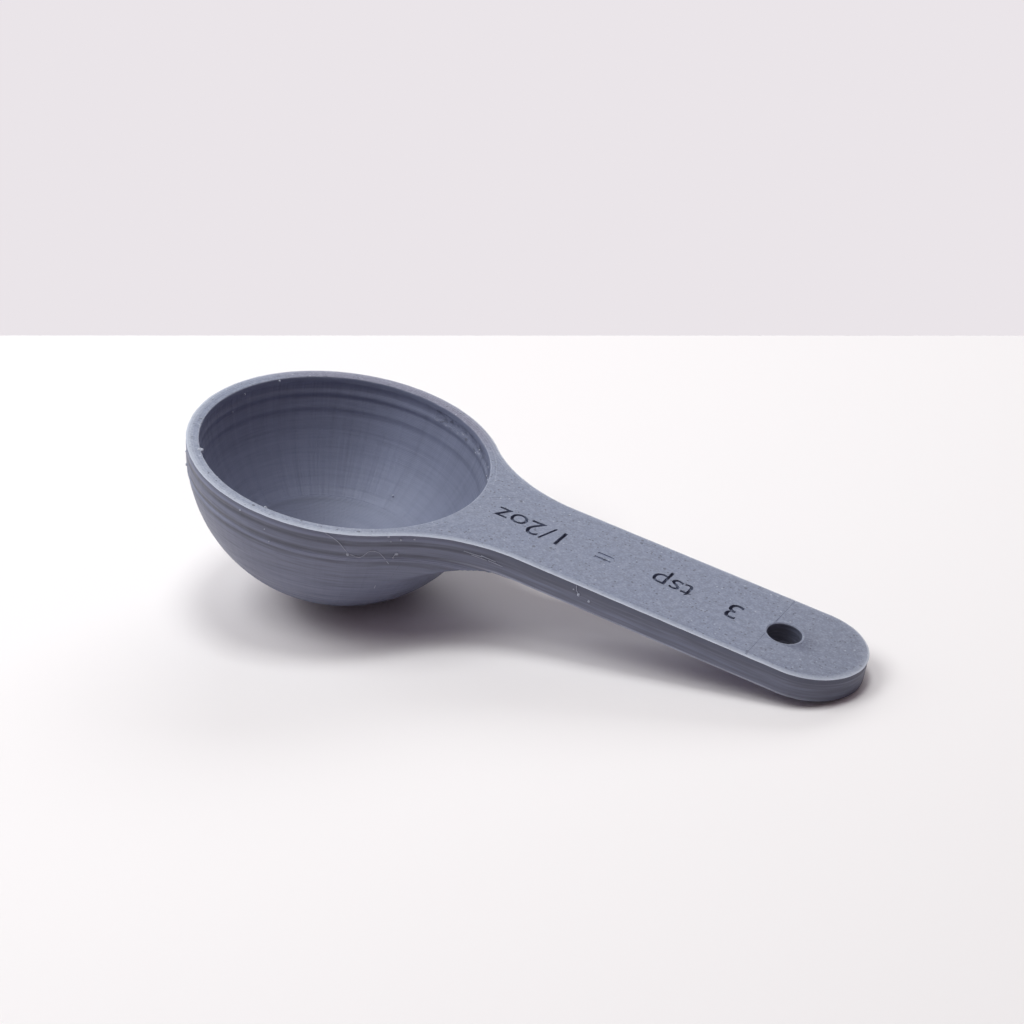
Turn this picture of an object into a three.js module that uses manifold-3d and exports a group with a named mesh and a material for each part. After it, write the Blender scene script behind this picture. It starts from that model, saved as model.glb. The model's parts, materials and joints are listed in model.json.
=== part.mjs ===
// Measuring spoon for one level tablespoon, printed in one go with its rim and handle face on the print bed.
// The print is drawn as the regions it is laid down in: the face layers, the bowl's wall and crown,
// the handle's side wall, back and hole wall, and the sparse fill inside the handle.
// Millimetres, +Z up. The spoon is drawn with its rim level, X along the handle and the rim plane at Z = 0,
// and is then tipped to lie as it does on a table: on the bottom of the bowl and the tip of the handle.

import * as THREE from 'three';
import { mergeVertices } from 'three/addons/utils/BufferGeometryUtils.js';
import Module from 'manifold-3d';

const wasm = await Module();
wasm.setup();

// Bowl: a sphere cut off just below its centre
const bowlRadius = 19.4;
const bowlWall = 1.6;
const bowlCentreRise = 0.3;
const crownLean = 51; // degrees of lean from upright, where the crown's closing layers take over from the wall

// Handle
const handleWidth = 15.8;
const handleThickness = 3.4;
const handleReach = 75.45; // from the bowl's axis to the tip
const sideFilletRadius = 21.3; // neck, between the bowl and the handle's sides
const underFilletRadius = 15; // neck, between the bowl and the handle's back
const holeRadius = 2.3;
const holeFromTip = 10.85;

// Print
const faceSkin = 0.8;
const firstLayer = 0.3;
const firstLayerSpread = 0.12; // how far the squashed first layer stands out past every edge
const backSkin = 0.8;
const sideWall = 1.2;
const holeWall = 0.9;
const fillBead = 0.45;
const fillPitch = 4.5;
const fillTurn = 45; // degrees between the bars and the handle
const seam = 0.2; // drawn open between regions, which are welded in the print

// Fineness of the round shapes
const bowlSegments = 64;
const bowlRows = 14; // along a quarter circle
const filletSegments = 72; // around a fillet's ring and around its tube
const holeSegments = 32;
const outlineSegments = 24; // along each arc of an outline
const mergeDistance = 1e-5;
const overshoot = 1; // how far a cutting solid reaches past what it cuts

const bedFinish = { color: 0x7b8099, roughness: 0.75, metalness: 0 };
const sideFinish = { color: 0x6b7088, roughness: 0.6, metalness: 0 };

const outerRadius = bowlRadius + bowlWall;
const crownDepth = bowlRadius * Math.sin(THREE.MathUtils.degToRad(crownLean)) - bowlCentreRise;
const halfWidth = handleWidth / 2;
const tipCentre = handleReach - halfWidth;
const holeX = handleReach - holeFromTip;
const layerTop = -(faceSkin + seam); // top of everything under the face layers
const innerInset = sideWall + seam; // from the handle's side to what lies inside its wall
const holeClearance = holeRadius + holeWall + seam;

// A ball rolled along the neck touches the bowl and the handle at once. Its centre runs round the bowl's centre
// on a ring, so each fillet is what the ball's torus leaves of a plain block.
const sideRingOffset = halfWidth + sideFilletRadius;
const sideRing = Math.sqrt((outerRadius + sideFilletRadius) ** 2 - sideRingOffset ** 2);
const underRingOffset = handleThickness + underFilletRadius + bowlCentreRise;
const underRing = Math.sqrt((outerRadius + underFilletRadius) ** 2 - underRingOffset ** 2);
const neckReach = Math.min(sideRing, underRing);
const neckHalfWidth = (sideRingOffset * outerRadius) / (outerRadius + sideFilletRadius);
const neckDepth = (underRingOffset * outerRadius) / (outerRadius + underFilletRadius) - bowlCentreRise;

// Solids from three.js geometry, and back

function solid(geometry) {
  geometry.deleteAttribute('normal');
  geometry.deleteAttribute('uv');
  const merged = mergeVertices(geometry, mergeDistance);
  return new wasm.Manifold(new wasm.Mesh({
    numProp: 3,
    vertProperties: new Float32Array(merged.attributes.position.array),
    triVerts: new Uint32Array(merged.index.array),
  }));
}

function piece(name, shape, finish) {
  const mesh = shape.getMesh();
  const geometry = new THREE.BufferGeometry();
  geometry.setAttribute('position', new THREE.BufferAttribute(mesh.vertProperties, 3));
  geometry.setIndex(new THREE.BufferAttribute(mesh.triVerts, 1));
  geometry.computeVertexNormals();
  const result = new THREE.Mesh(geometry, new THREE.MeshStandardMaterial(finish));
  result.name = name;
  return result;
}

function plate(outline, low, high) {
  const geometry = new THREE.ExtrudeGeometry(outline, {
    depth: high - low,
    bevelEnabled: false,
    curveSegments: outlineSegments,
  });
  return solid(geometry.translate(0, 0, low));
}

function drum(x, radius, low, high, segments) {
  const geometry = new THREE.CylinderGeometry(radius, radius, high - low, segments);
  return solid(geometry.rotateX(Math.PI / 2).translate(x, 0, (low + high) / 2));
}

function revolve(profile) {
  return solid(new THREE.LatheGeometry(profile, bowlSegments).rotateX(Math.PI / 2));
}

// Bowl

function poleDepth(radius) {
  return radius - bowlCentreRise;
}

// Profile of the bowl's sphere between two depths below the rim
function bowlArc(radius, fromDepth, toDepth) {
  const start = Math.asin((fromDepth + bowlCentreRise) / radius);
  const end = Math.asin((toDepth + bowlCentreRise) / radius);
  const rows = Math.ceil((Math.abs(end - start) / (Math.PI / 2)) * bowlRows);
  return Array.from({ length: rows + 1 }, (_, row) => {
    const angle = start + ((end - start) * row) / rows;
    return new THREE.Vector2(radius * Math.cos(angle), bowlCentreRise - radius * Math.sin(angle));
  });
}

function makeBowlWall() {
  const outside = bowlArc(outerRadius, crownDepth, -layerTop);
  const inside = bowlArc(bowlRadius, -layerTop, crownDepth);
  return revolve([...outside, ...inside, outside[0]]);
}

function makeBowlCrown() {
  const top = crownDepth + seam;
  const outside = bowlArc(outerRadius, poleDepth(outerRadius), top);
  const inside = bowlArc(bowlRadius, top, poleDepth(bowlRadius));
  return revolve([...outside, ...inside]);
}

// The lower half of the bowl's outside with room for the seam, to cut from what joins it
function makeBowlClearance() {
  const radius = outerRadius + seam;
  const outside = bowlArc(radius, poleDepth(radius), -bowlCentreRise);
  return revolve([...outside, new THREE.Vector2(0, bowlCentreRise)]);
}

// Face layers: rim and handle face in one plate

function faceOutline(spread) {
  const rim = Math.sqrt(outerRadius ** 2 - bowlCentreRise ** 2) + spread;
  const fillet = sideFilletRadius - spread;
  const turn = Math.atan2(sideRingOffset, sideRing); // where the rim runs into the neck
  const outline = new THREE.Shape();
  outline.absarc(0, 0, rim, turn, 2 * Math.PI - turn, false);
  outline.absarc(sideRing, -sideRingOffset, fillet, Math.PI - turn, Math.PI / 2, true);
  outline.absarc(tipCentre, 0, halfWidth + spread, -Math.PI / 2, Math.PI / 2, false);
  outline.absarc(sideRing, sideRingOffset, fillet, -Math.PI / 2, turn - Math.PI, true);
  outline.closePath();
  return outline;
}

// A round opening through the face layers, drawn in by the squashed first layer
function faceOpening(x, radius, segments) {
  return drum(x, radius, -faceSkin - overshoot, -firstLayer, segments)
    .add(drum(x, radius - firstLayerSpread, -faceSkin, overshoot, segments));
}

function makeFaceSkin() {
  return plate(faceOutline(firstLayerSpread), -firstLayer, 0)
    .add(plate(faceOutline(0), -faceSkin, -firstLayer / 2))
    .subtract(faceOpening(0, bowlRadius, bowlSegments))
    .subtract(faceOpening(holeX, holeRadius, holeSegments));
}

// Handle below the face layers

function handleOutline(half) {
  const outline = new THREE.Shape();
  outline.moveTo(0, -half);
  outline.lineTo(tipCentre, -half);
  outline.absarc(tipCentre, 0, half, -Math.PI / 2, Math.PI / 2, false);
  outline.lineTo(0, half);
  outline.closePath();
  return outline;
}

function neckBlock(reach, top) {
  const height = top + neckDepth;
  const geometry = new THREE.BoxGeometry(reach, 2 * neckHalfWidth, height);
  return solid(geometry.translate(reach / 2, 0, top - height / 2));
}

function torus(ring, tube) {
  return new THREE.TorusGeometry(ring, tube, filletSegments, filletSegments);
}

// The handle and its neck up to the height top, drawn in from the sides and the back by the given amounts
function handleSolid(sideInset, underInset, top, reach = neckReach) {
  const bar = plate(handleOutline(halfWidth - sideInset), underInset - handleThickness, top);
  const under = torus(underRing, underFilletRadius + underInset);
  let neck = neckBlock(reach, top)
    .subtract(solid(under.translate(0, 0, bowlCentreRise - underRingOffset)));
  for (const side of [-1, 1]) {
    const flank = torus(sideRing, sideFilletRadius + sideInset).rotateX(Math.PI / 2);
    neck = neck.subtract(solid(flank.translate(0, side * sideRingOffset, bowlCentreRise)));
  }
  return bar.add(neck);
}

// The same to cut with: it passes out through the top and the end of the neck
function handleCutter(sideInset, underInset) {
  return handleSolid(sideInset, underInset, overshoot, neckReach + overshoot);
}

function holeCutter(radius) {
  return drum(holeX, radius, -handleThickness - overshoot, overshoot, holeSegments);
}

const bowlClearance = makeBowlClearance();

function makeHandleWall() {
  return handleSolid(0, 0, layerTop)
    .subtract(handleCutter(sideWall, -overshoot))
    .subtract(bowlClearance);
}

function makeHandleBack() {
  return handleSolid(innerInset, 0, layerTop)
    .subtract(handleCutter(sideWall, backSkin))
    .subtract(holeCutter(holeClearance))
    .subtract(bowlClearance);
}

function makeHoleWall() {
  return drum(holeX, holeRadius + holeWall, -handleThickness, layerTop, holeSegments)
    .subtract(holeCutter(holeRadius));
}

// Crossed bars, with a bead along the side wall that ties their ends together
function makeHandleFill() {
  const room = handleSolid(innerInset, backSkin + seam, layerTop);
  const barLength = 2 * neckHalfWidth * Math.SQRT2;
  const step = fillPitch / Math.sin(THREE.MathUtils.degToRad(fillTurn));
  let fill = room.subtract(handleCutter(innerInset + fillBead, -overshoot));
  for (let x = step; x < handleReach; x += step) {
    for (const turn of [-fillTurn, fillTurn]) {
      const bar = new THREE.BoxGeometry(barLength, fillBead, neckDepth)
        .rotateZ(THREE.MathUtils.degToRad(turn))
        .translate(x, 0, -neckDepth / 2);
      fill = fill.add(solid(bar));
    }
  }
  return fill.intersect(room)
    .subtract(holeCutter(holeClearance))
    .subtract(bowlClearance);
}

const spoon = new THREE.Group();
spoon.add(
  piece('face_skin', makeFaceSkin(), bedFinish),
  piece('bowl_wall', makeBowlWall(), sideFinish),
  piece('bowl_crown', makeBowlCrown(), sideFinish),
  piece('handle_wall', makeHandleWall(), sideFinish),
  piece('handle_back', makeHandleBack(), sideFinish),
  piece('hole_wall', makeHoleWall(), sideFinish),
  piece('handle_fill', makeHandleFill(), sideFinish),
);

// Tipped until the bottom of the bowl and the lower edge of the tip are equally low
const tipDrop = handleThickness + bowlCentreRise;
spoon.rotation.y = Math.asin(outerRadius / Math.hypot(handleReach, tipDrop)) - Math.atan2(tipDrop, handleReach);
spoon.updateMatrixWorld(true);

// Stood on Z = 0, with the origin under the middle of its box
const box = new THREE.Box3().setFromObject(spoon, true);
const middle = box.getCenter(new THREE.Vector3());
spoon.position.set(-middle.x, -middle.y, -box.min.z);

export default spoon;
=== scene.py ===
import json
import math

import bmesh
import bpy
import numpy as np
from mathutils import Matrix, Vector


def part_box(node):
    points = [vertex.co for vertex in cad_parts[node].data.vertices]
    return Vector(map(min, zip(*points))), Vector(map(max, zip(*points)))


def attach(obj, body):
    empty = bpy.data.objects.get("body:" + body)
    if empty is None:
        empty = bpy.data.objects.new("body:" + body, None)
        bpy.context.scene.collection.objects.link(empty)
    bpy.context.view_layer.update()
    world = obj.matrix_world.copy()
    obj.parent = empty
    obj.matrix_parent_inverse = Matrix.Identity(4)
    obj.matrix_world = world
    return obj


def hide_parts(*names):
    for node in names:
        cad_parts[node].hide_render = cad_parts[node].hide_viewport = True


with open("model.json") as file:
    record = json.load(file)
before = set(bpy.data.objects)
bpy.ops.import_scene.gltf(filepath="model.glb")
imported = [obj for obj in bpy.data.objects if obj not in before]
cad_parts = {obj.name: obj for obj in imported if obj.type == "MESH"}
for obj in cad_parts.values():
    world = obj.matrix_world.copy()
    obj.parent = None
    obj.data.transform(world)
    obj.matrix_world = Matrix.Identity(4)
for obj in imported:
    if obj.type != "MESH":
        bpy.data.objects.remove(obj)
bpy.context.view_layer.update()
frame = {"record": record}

MM = 0.001

# The bowl: part of a hollow ball whose middle lies a little above the rim
BOWL_RADIUS = 19.4 * MM
BOWL_WALL = 1.6 * MM
BALL_RISE = 0.3 * MM
CROWN_DEPTH = 14.8 * MM

# The handle and the fillets of its neck
HANDLE_WIDTH = 15.8 * MM
HANDLE_THICKNESS = 3.4 * MM
HANDLE_REACH = 75.45 * MM
HANDLE_START = 22 * MM
HANDLE_BLEND = 10 * MM
SIDE_FILLET = 21.3 * MM
UNDER_FILLET = 15.0 * MM
CREASE_ROUND = 0.45 * MM
BACK_EDGE_ROUND = 0.18 * MM
HOLE_RADIUS = 2.3 * MM
HOLE_FROM_TIP = 10.85 * MM

# The print: its layers, and the plate of first layers that lay on the print bed
LAYER = 0.2 * MM
FACE_SKIN = 0.8 * MM
LIP = 0.12 * MM

# Where the layers stand out or draw in: (height above the rim, how far out), in millimetres
OUTSIDE_BANDS = (
    (-0.45, -0.070), (-0.85, 0.050), (-1.50, -0.060), (-2.75, 0.060), (-3.50, -0.060), (-4.10, 0.060),
    (-4.70, -0.030), (-5.60, 0.020), (-6.60, 0.0),
)
INSIDE_BANDS = (
    (-0.80, -0.060), (-1.40, 0.060), (-1.80, 0.045), (-2.50, -0.060), (-3.10, 0.060), (-3.80, 0.0),
    (-4.60, -0.030), (-5.20, 0.040), (-7.00, -0.015), (-7.60, 0.015), (-9.00, 0.0),
)
HANDLE_BAND_SHARE = 0.2

# How far one layer strays from the next: little over most of the spoon, and more near the rim
FINE_SPREAD = 0.004 * MM
RIM_SPREAD = 0.013 * MM
RIM_ZONE = 5 * MM
RIM_BLEND = 1 * MM
WAVER_COUNTS = (3, 7, 16, 41)
WAVER_SHARE = 0.35

# Points round the wall
TIP_COLUMNS = 22
SIDE_COLUMNS = 22
FILLET_COLUMNS = 26
BOWL_COLUMNS = 160
HALVINGS = 44
WELD = 0.002 * MM
SMOOTH_ANGLE = 35

OUTER_RADIUS = BOWL_RADIUS + BOWL_WALL
HALF_WIDTH = HANDLE_WIDTH / 2
TIP_CENTRE = HANDLE_REACH - HALF_WIDTH
HOLE_X = HANDLE_REACH - HOLE_FROM_TIP
SIDE_OFFSET = HALF_WIDTH + SIDE_FILLET
SIDE_RING = math.sqrt((OUTER_RADIUS + SIDE_FILLET) ** 2 - SIDE_OFFSET**2)
NECK_SPAN = SIDE_RING * OUTER_RADIUS / (OUTER_RADIUS + SIDE_FILLET)
UNDER_OFFSET = HANDLE_THICKNESS + UNDER_FILLET + BALL_RISE
UNDER_RING = math.sqrt((OUTER_RADIUS + UNDER_FILLET) ** 2 - UNDER_OFFSET**2)
NECK_DEPTH = UNDER_OFFSET * OUTER_RADIUS / (OUTER_RADIUS + UNDER_FILLET) - BALL_RISE


def spoon_place():
    """Where the spoon lies: from its own frame, with the rim at height 0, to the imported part's."""
    rim = next(mount for mount in frame["record"]["mounts"] if mount["name"] == "rim_face")
    up = Vector(rim["axis"])
    tilt = math.atan2(up.x, up.z)
    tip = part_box("face_skin")[1].x
    x = tip - (HANDLE_REACH + LIP) * math.cos(tilt)
    z = (up.dot(Vector(rim["pos_m"])) - up.x * x) / up.z
    return tilt, Vector((x, 0, z))


TILT, RIM_MIDDLE = spoon_place()
PLACE = Matrix.Translation(RIM_MIDDLE) @ Matrix.Rotation(TILT, 4, "Y")


# Outline of the spoon at any height


def ball_section(radius, height):
    """Radius of the ball's section at a height."""
    return math.sqrt(max(radius**2 - (height - BALL_RISE) ** 2, 0.0))


def wall_bearings():
    """Bearings of the columns of points up the wall, seen from the bowl's middle, even along the outline."""
    end = np.linspace(0, math.pi / 2, TIP_COLUMNS, endpoint=False)
    straight = np.linspace(TIP_CENTRE, SIDE_RING, SIDE_COLUMNS, endpoint=False)
    toward_bowl = math.atan2(-SIDE_OFFSET, -SIDE_RING)
    fillet = np.linspace(-math.pi / 2, toward_bowl, FILLET_COLUMNS, endpoint=False)
    x = [TIP_CENTRE + HALF_WIDTH * np.cos(end), straight, SIDE_RING + SIDE_FILLET * np.cos(fillet)]
    y = [
        HALF_WIDTH * np.sin(end),
        np.full(SIDE_COLUMNS, HALF_WIDTH),
        SIDE_OFFSET + SIDE_FILLET * np.sin(fillet),
    ]
    half = np.arctan2(np.concatenate(y), np.concatenate(x))
    neck = math.atan2(SIDE_OFFSET, SIDE_RING)
    bowl = np.linspace(neck, 2 * math.pi - neck, BOWL_COLUMNS)
    return np.concatenate([half, bowl, 2 * math.pi - half[:0:-1]])


BEARINGS = wall_bearings()
COLUMNS = len(BEARINGS)


def in_handle(x, y, height):
    """Whether points lie in the handle or in the side fillets of its neck."""
    span = np.hypot(x, height - BALL_RISE)
    gap = np.clip(SIDE_RING - span, 0, SIDE_FILLET)
    half = SIDE_OFFSET - np.sqrt(SIDE_FILLET**2 - gap**2)
    past_tip = np.maximum(x - TIP_CENTRE, 0)
    return (x > 0) & (span > NECK_SPAN) & (np.hypot(past_tip, y) <= half)


def soft_least(first, second, blend):
    """The smaller of two lengths, rounded over where they are nearly alike."""
    share = np.clip(0.5 + 0.5 * (second - first) / blend, 0, 1)
    return second + (first - second) * share - blend * share * (1 - share)


def outside_reach(height, bearings=BEARINGS):
    """How far the outside lies from the bowl's axis at one height, along each bearing."""
    ball = ball_section(OUTER_RADIUS, height)
    near = np.full(len(bearings), ball)
    if height < -NECK_DEPTH:
        return near
    far = np.full(len(bearings), HANDLE_REACH + OUTER_RADIUS)
    for _ in range(HALVINGS):
        middle = (near + far) / 2
        inside = in_handle(middle * np.cos(bearings), middle * np.sin(bearings), height)
        near = np.where(inside, middle, near)
        far = np.where(inside, far, middle)
    if height >= -HANDLE_THICKNESS:
        return near
    drop = -HANDLE_THICKNESS - height
    under = UNDER_RING - math.sqrt(UNDER_FILLET**2 - (UNDER_FILLET - drop) ** 2)
    return np.maximum(soft_least(near, under, CREASE_ROUND), ball)


def smooth_step(value):
    """Eases from 0 to 1."""
    value = np.clip(value, 0, 1)
    return value * value * (3 - 2 * value)


def bulge(height, bands):
    """How far a layer stands out at a height."""
    heights = [-pair[0] * MM for pair in bands]
    bulges = [pair[1] * MM for pair in bands]
    depth = min(max(-height, heights[0]), heights[-1])
    after = min(max(int(np.searchsorted(heights, depth)), 1), len(bands) - 1)
    share = smooth_step((depth - heights[after - 1]) / (heights[after] - heights[after - 1]))
    return bulges[after - 1] + (bulges[after] - bulges[after - 1]) * share


def ring(reach, height, swell=0.0):
    """A closed ring of points at one height, moved out square to itself by swell."""
    flat = np.stack([reach * np.cos(BEARINGS), reach * np.sin(BEARINGS)], -1)
    along = np.roll(flat, -1, 0) - np.roll(flat, 1, 0)
    outward = np.stack([along[:, 1], -along[:, 0]], -1)
    outward /= np.linalg.norm(outward, axis=1, keepdims=True)
    flat = flat + np.reshape(swell, (-1, 1)) * outward
    return np.column_stack([flat, np.full(COLUMNS, height)])


FACE_REACH = outside_reach(0.0)
ON_HANDLE = smooth_step((FACE_REACH - HANDLE_START) / HANDLE_BLEND)


def outside_swell(height):
    """The bands round the outside, weaker along the handle."""
    return bulge(height, OUTSIDE_BANDS) * (1 - (1 - HANDLE_BAND_SHARE) * ON_HANDLE)


class LayerNoise:
    """Small random offsets of one layer after another, the same in every run."""

    def __init__(self, seed):
        self.random = np.random.default_rng(seed)

    def layer(self, height):
        """An offset for a whole layer, with a slow waver round the bowl, and larger near the rim."""
        near_rim = smooth_step((height + RIM_ZONE) / RIM_BLEND)
        spread = FINE_SPREAD + (RIM_SPREAD - FINE_SPREAD) * near_rim
        offset = self.random.normal(0, spread)
        for waves in WAVER_COUNTS:
            phase = self.random.uniform(0, 2 * math.pi)
            offset = offset + WAVER_SHARE * spread * np.sin(waves * BEARINGS + phase)
        return offset


# Meshes


def deselect():
    """Clears the selection, so that the next operator works on its own piece alone."""
    bpy.ops.object.select_all(action="DESELECT")


def skin_rings(name, rings, close_end=False):
    """Lays rings of points one after another, as a printer lays layers, with a wall between them."""
    deselect()
    bpy.ops.mesh.primitive_circle_add(vertices=COLUMNS, radius=OUTER_RADIUS)
    piece = bpy.context.object
    piece.name = name
    bpy.ops.object.mode_set(mode="EDIT")
    for number, points in enumerate(rings):
        if number:
            bpy.ops.mesh.extrude_region_move()
        mesh = bmesh.from_edit_mesh(piece.data)
        mesh.verts.ensure_lookup_table()
        for vertex, point in zip(mesh.verts[-COLUMNS:], points):
            vertex.co = point
    if close_end:
        bpy.ops.mesh.edge_face_add()
    bpy.ops.object.mode_set(mode="OBJECT")
    return piece


def join(name, pieces):
    """Makes several pieces one, welds what meets, and turns the faces outwards."""
    deselect()
    for piece in pieces:
        piece.select_set(True)
    bpy.context.view_layer.objects.active = pieces[0]
    if len(pieces) > 1:
        bpy.ops.object.join()
    joined = bpy.context.object
    joined.name = name
    bpy.ops.object.mode_set(mode="EDIT")
    bpy.ops.mesh.select_all(action="SELECT")
    bpy.ops.mesh.remove_doubles(threshold=WELD)
    bpy.ops.mesh.normals_make_consistent(inside=False)
    bpy.ops.object.mode_set(mode="OBJECT")
    return joined


def combine(piece, other, operation):
    """Cuts one piece out of another, or adds it."""
    deselect()
    piece.select_set(True)
    bpy.context.view_layer.objects.active = piece
    bpy.ops.object.modifier_add(type="BOOLEAN")
    modifier = piece.modifiers[-1]
    modifier.operation = operation
    modifier.solver = "EXACT"
    modifier.object = other
    bpy.ops.object.modifier_apply(modifier=modifier.name)
    bpy.data.objects.remove(other)


def settle(piece, smooth_angle=SMOOTH_ANGLE):
    """Lays a piece where the spoon lies, smooths it and puts its place in its mesh."""
    deselect()
    piece.select_set(True)
    bpy.context.view_layer.objects.active = piece
    piece.matrix_world = PLACE @ piece.matrix_world
    bpy.ops.object.transform_apply(location=True, rotation=True, scale=True)
    bpy.ops.object.shade_smooth_by_angle(angle=math.radians(smooth_angle))
    return piece


# Layered body: bowl, neck and handle below the plate of first layers

TREAD_ZONE = 1.2 * MM
OUTSIDE_TREADS = 13.4 * MM
INSIDE_TREADS = 13.8 * MM
TREAD_CHAMFER = 0.02 * MM
TREAD_SHARE = 0.35
OVERHANG_BLEND = 1 * MM
EDGE_ROWS = 5
BACK_ROWS = 9
CROWN_STEP = 0.03 * MM

# The hanging hole: (height, how far out) over its first layers, and the spread of the others, in millimetres
HOLE_PROFILE = ((0.0, 0.05), (-0.06, -0.04), (-0.2, -0.08), (-0.34, 0.0))
HOLE_FIRST_LAYERS = 2
HOLE_SPREAD = 0.03
HOLE_TOP = 0.1 * MM
HOLE_COLUMNS = 64


def wall_of_handle():
    """Rings down the side of the handle and bowl, with the rounded lower edge of the handle."""
    noise = LayerNoise(11)
    rings = [ring(outside_reach(-FACE_SKIN), -FACE_SKIN, outside_swell(-FACE_SKIN))]
    for layer in range(round(FACE_SKIN / LAYER), round(HANDLE_THICKNESS / LAYER) - 1):
        height = -(layer + 0.5) * LAYER
        rings.append(ring(outside_reach(height), height, outside_swell(height) + noise.layer(height)))
    below = outside_reach(-HANDLE_THICKNESS - WELD)
    overhang = smooth_step((outside_reach(-HANDLE_THICKNESS) - below) / OVERHANG_BLEND)
    for turn in np.linspace(0, math.pi / 2, EDGE_ROWS):
        height = -HANDLE_THICKNESS + BACK_EDGE_ROUND * (1 - math.sin(turn))
        drawn_in = BACK_EDGE_ROUND * (1 - math.cos(turn)) * overhang
        rings.append(ring(outside_reach(height), height, outside_swell(height) - drawn_in))
    return rings


def back_of_handle(edge):
    """Rings across the flat back of the handle, from its edge to the neck's fillet."""
    inner = ring(
        outside_reach(-HANDLE_THICKNESS - WELD), -HANDLE_THICKNESS, outside_swell(-HANDLE_THICKNESS)
    )
    return [edge + (inner - edge) * share for share in np.linspace(0, 1, BACK_ROWS + 1)]


def outside_of_bowl(top):
    """Rings down the fillet of the neck and the outside of the bowl, with treads where it is nearly flat."""
    noise = LayerNoise(12)
    rings = [top]
    first = round(HANDLE_THICKNESS / LAYER)
    last = int((OUTER_RADIUS - BALL_RISE) / LAYER)
    for layer in range(first, last):
        high = -layer * LAYER
        low = high - LAYER
        swell = outside_swell(high - LAYER / 2) + noise.layer(high)
        if high > -HANDLE_THICKNESS - TREAD_ZONE or low < -OUTSIDE_TREADS:
            for height in (high - TREAD_CHAMFER, low + TREAD_CHAMFER):
                reach = outside_reach(height) * (1 - TREAD_SHARE) + outside_reach(low) * TREAD_SHARE
                rings.append(ring(reach, height, swell))
        else:
            rings.append(ring(outside_reach(high - LAYER / 2), high - LAYER / 2, swell))
    return rings


def inside_of_bowl():
    """Rings down the inside of the bowl, with treads where it is nearly flat and a step at the crown."""
    noise = LayerNoise(13)
    top = ball_section(BOWL_RADIUS, -FACE_SKIN) + bulge(-FACE_SKIN, INSIDE_BANDS)
    rings = [ring(np.full(COLUMNS, top), -FACE_SKIN)]
    last = int((BOWL_RADIUS - BALL_RISE) / LAYER)
    for layer in range(round(FACE_SKIN / LAYER), last):
        high = -layer * LAYER
        low = high - LAYER
        middle = high - LAYER / 2
        swell = bulge(middle, INSIDE_BANDS) + noise.layer(middle)
        if low < -CROWN_DEPTH:
            swell = swell + CROWN_STEP
        reach = ball_section(BOWL_RADIUS, middle)
        if low < -INSIDE_TREADS:
            for height in (high - TREAD_CHAMFER, low + TREAD_CHAMFER):
                step = ball_section(BOWL_RADIUS, height) * (1 - TREAD_SHARE) + reach * TREAD_SHARE
                rings.append(ring(np.full(COLUMNS, step), height, swell))
        else:
            rings.append(ring(np.full(COLUMNS, reach), middle, swell))
    return rings


def hole_cutter():
    """A stack of rings, a little tighter at the first layers, that cuts the hanging hole."""
    noise = np.random.default_rng(14)
    height = HOLE_TOP
    radius = HOLE_RADIUS + LIP
    deselect()
    bpy.ops.mesh.primitive_circle_add(vertices=HOLE_COLUMNS, radius=radius, location=(HOLE_X, 0, height))
    cutter = bpy.context.object
    bpy.ops.object.mode_set(mode="EDIT")
    bpy.ops.mesh.edge_face_add()
    profile = [(level * MM, swell * MM) for level, swell in HOLE_PROFILE]
    for layer in range(HOLE_FIRST_LAYERS, round(HANDLE_THICKNESS / LAYER)):
        profile.append((-(layer + 0.5) * LAYER, noise.normal(0, HOLE_SPREAD) * MM))
    profile.append((-HANDLE_THICKNESS - LAYER, 0.0))
    for next_height, swell in profile:
        next_radius = HOLE_RADIUS + swell
        bpy.ops.mesh.extrude_region_move(TRANSFORM_OT_translate={"value": (0, 0, next_height - height)})
        scale = next_radius / radius
        bpy.ops.transform.resize(value=(scale, scale, 1), center_override=(HOLE_X, 0, 0))
        height = next_height
        radius = next_radius
    bpy.ops.mesh.select_all(action="SELECT")
    bpy.ops.mesh.normals_make_consistent(inside=False)
    bpy.ops.object.mode_set(mode="OBJECT")
    return cutter


def layered_body():
    """Everything below the plate of first layers, as one skin with the hanging hole in it."""
    inside = inside_of_bowl()
    wall = wall_of_handle()
    back = back_of_handle(wall[-1])
    outside = outside_of_bowl(back[-1])
    pieces = [
        skin_rings("inside", inside, close_end=True),
        skin_rings("top", [inside[0], wall[0]]),
        skin_rings("wall", wall),
        skin_rings("back", back),
        skin_rings("outside", outside, close_end=True),
    ]
    body = join("layered_body", pieces)
    combine(body, hole_cutter(), "DIFFERENCE")
    return settle(body)


# Plate of first layers: rim and handle face, with its squashed lip, bead lines and engraved mark

# Section of the plate's two edges: (how far out, height), in millimetres
LIP_PROFILE = (
    (-0.10, -0.026), (-0.02, -0.042), (0.04, -0.056), (0.06, -0.07), (0.04, -0.09),
    (0.0, -0.11), (-0.03, -0.15), (-0.04, -0.35), (-0.02, -0.60),
)
INNER_PROFILE = (
    (-0.20, 0.0), (-0.10, -0.012), (-0.02, -0.04), (0.02, -0.10), (0.05, -0.22), (0.07, -0.40), (0.08, -0.60),
)
LIP_PROUD = 0.06
LIP_WAVER = 0.02 * MM
LIP_WAVES = (9, 23, 47, 83)

# Beads along the edges: (distance from the edge, 1 in a groove, drop where most squashed), in millimetres
BEAD_STEPS = (
    (0.20, 0, 0.014), (0.36, 0, 0.009), (0.41, 1, 0.008), (0.46, 0, 0.007), (0.62, 0, 0.005),
    (0.76, 0, 0.003), (0.80, 1, 0.002),
)
BEAD_GROOVE = 0.01 * MM
BEAD_GROOVE_FADE = 0.9
SQUASH_LEAST = 0.3
SQUASH_BLEND = 12 * MM
FILL_ROWS = 12
FILL_EDGE = 0.06 * MM

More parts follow.
